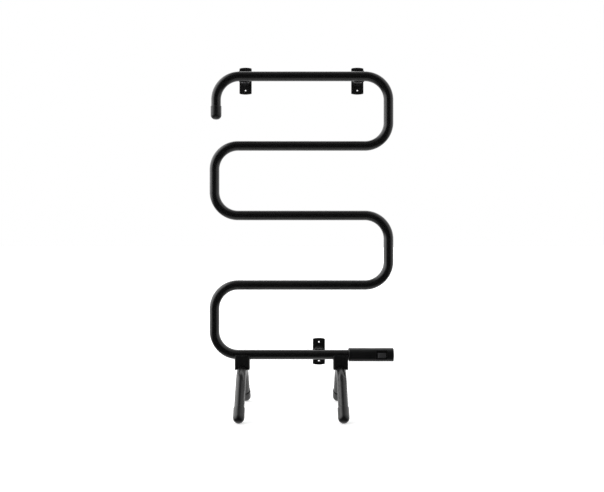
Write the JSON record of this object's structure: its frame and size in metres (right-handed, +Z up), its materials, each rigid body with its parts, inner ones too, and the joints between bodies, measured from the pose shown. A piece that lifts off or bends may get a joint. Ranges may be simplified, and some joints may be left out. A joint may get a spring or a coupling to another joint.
{
  "type": "electric heated towel rail",
  "caption": "Serpentine tube towel rail with an electric control box, on two arched feet or hung from wall brackets, with a rocker switch.",
  "frame": {"origin": "on the floor, under the centre of the object's outline; the rail's axis plane is y = 0", "axes": "+X to the right seen from the front, +Y back towards the wall, +Z up"},
  "size_m": [0.4765, 0.3, 0.9028],
  "materials": {
    "black_powder_coat": "fine satin black powder coat",
    "matte_black_plastic": "moulded black, low sheen",
    "satin_black_plastic": "moulded black, satin sheen",
    "gloss_black_plastic": "polished black",
    "smoke_grey_plastic": "dark grey, satin",
    "black_rubber": "soft black",
    "black_steel": "black coated steel",
    "zinc_steel": "bright zinc plating",
    "brass": "plain brass",
    "aluminium_can": "pressed can",
    "silicone_cable": "red brown silicone",
    "brown_wire": "brown insulation",
    "blue_wire": "blue insulation",
    "green_yellow_wire": "green and yellow insulation",
    "white_plastic": "natural white moulding"
  },
  "bodies": {
    "frame": {"rail_tube": "black_powder_coat", "rail_end_cap": "matte_black_plastic", "rivet_nuts": "zinc_steel", "wall_bracket_screws": "zinc_steel", "foot_bolts": "black_steel", "foot_bolt_washers": "black_steel", "control_box_front_shell": "satin_black_plastic", "control_box_rear_shell": "satin_black_plastic", "control_box_case_screws": "black_steel", "control_box_fixing_screw": "black_steel", "control_panel": "gloss_black_plastic", "tube_entry_seal": "black_rubber", "cord_inlet_grommet": "black_rubber", "switch_housing": "matte_black_plastic", "switch_terminals": "brass", "heating_cable": "silicone_cable", "heating_cable_end_seal": "silicone_cable", "heating_cable_lead_boot": "silicone_cable", "thermal_protector": "aluminium_can", "protector_supply_wire": "brown_wire", "heating_live_lead": "brown_wire", "heating_neutral_lead": "blue_wire", "switched_live_wire": "brown_wire", "earth_wire": "green_yellow_wire", "earth_ring_terminal": "brass", "earth_screw": "brass", "terminal_block": "white_plastic", "terminal_inserts": "brass", "terminal_clamp_screws": "zinc_steel", "top_left_wall_bracket": "matte_black_plastic", "top_right_wall_bracket": "matte_black_plastic", "bottom_wall_bracket": "matte_black_plastic", "left_foot_tube": "black_powder_coat", "left_foot_cradle": "matte_black_plastic", "left_front_foot_cap": "black_rubber", "left_rear_foot_cap": "black_rubber", "right_foot_tube": "black_powder_coat", "right_foot_cradle": "matte_black_plastic", "right_front_foot_cap": "black_rubber", "right_rear_foot_cap": "black_rubber"},
    "rocker": {"switch_rocker": "smoke_grey_plastic"},
    "contact": {"switch_contact_lever": "brass"}
  },
  "joints": [
    {"name": "rocker_tilt", "type": "hinge", "parent": "frame", "child": "rocker", "pos_m": [0.2056, -0.012, 0.147], "axis": [0, 0, -1], "range_deg": [0, 16]},
    {"name": "contact_tilt", "type": "hinge", "parent": "frame", "child": "contact", "pos_m": [0.2056, 0, 0.147], "axis": [0, 0, 1], "range_deg": [0, 12.05]}
  ],
  "couplings": [
    {"joint": "contact_tilt", "follows": "rocker_tilt", "ratio": 0.75}
  ]
}
